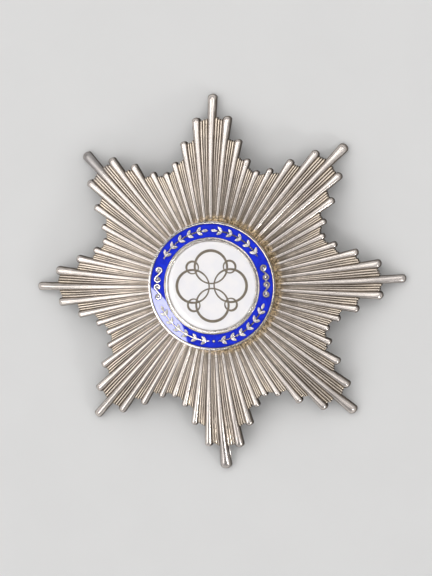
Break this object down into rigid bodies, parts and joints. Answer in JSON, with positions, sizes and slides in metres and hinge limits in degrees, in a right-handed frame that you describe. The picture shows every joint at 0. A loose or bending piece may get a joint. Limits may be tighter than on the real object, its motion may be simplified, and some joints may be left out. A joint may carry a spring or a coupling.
{
  "type": "breast star",
  "caption": "Domed silver breast star of rounded rays in stepped lengths, with a raised round medallion of blue and white enamel, and a plain pin across its hollow back.",
  "frame": {"origin": "under the middle of the star, on the plane that its main points rest on", "axes": "+Z out of the face, +Y towards the top main point, +X to the wearer's left as seen from the front"},
  "size_m": [0.085, 0.085, 0.01],
  "materials": {
    "ray_silver": "silver, worn bright on the crests and tarnished warm brown in the grooves",
    "setting_silver": "polished silver, lightly tarnished",
    "blue_enamel": "glossy translucent royal blue enamel over silver",
    "white_enamel": "glossy opaque white enamel",
    "loop_gilt": "dull gilt line",
    "pin_silver": "drawn silver wire and plain blocks, lightly tarnished"
  },
  "bodies": {
    "root": {"star": "ray_silver", "medallion_setting": "setting_silver", "blue_ring": "blue_enamel", "white_centre": "white_enamel", "centre_loops": "loop_gilt", "brooch_pin": "pin_silver"}
  },
  "joints": []
}
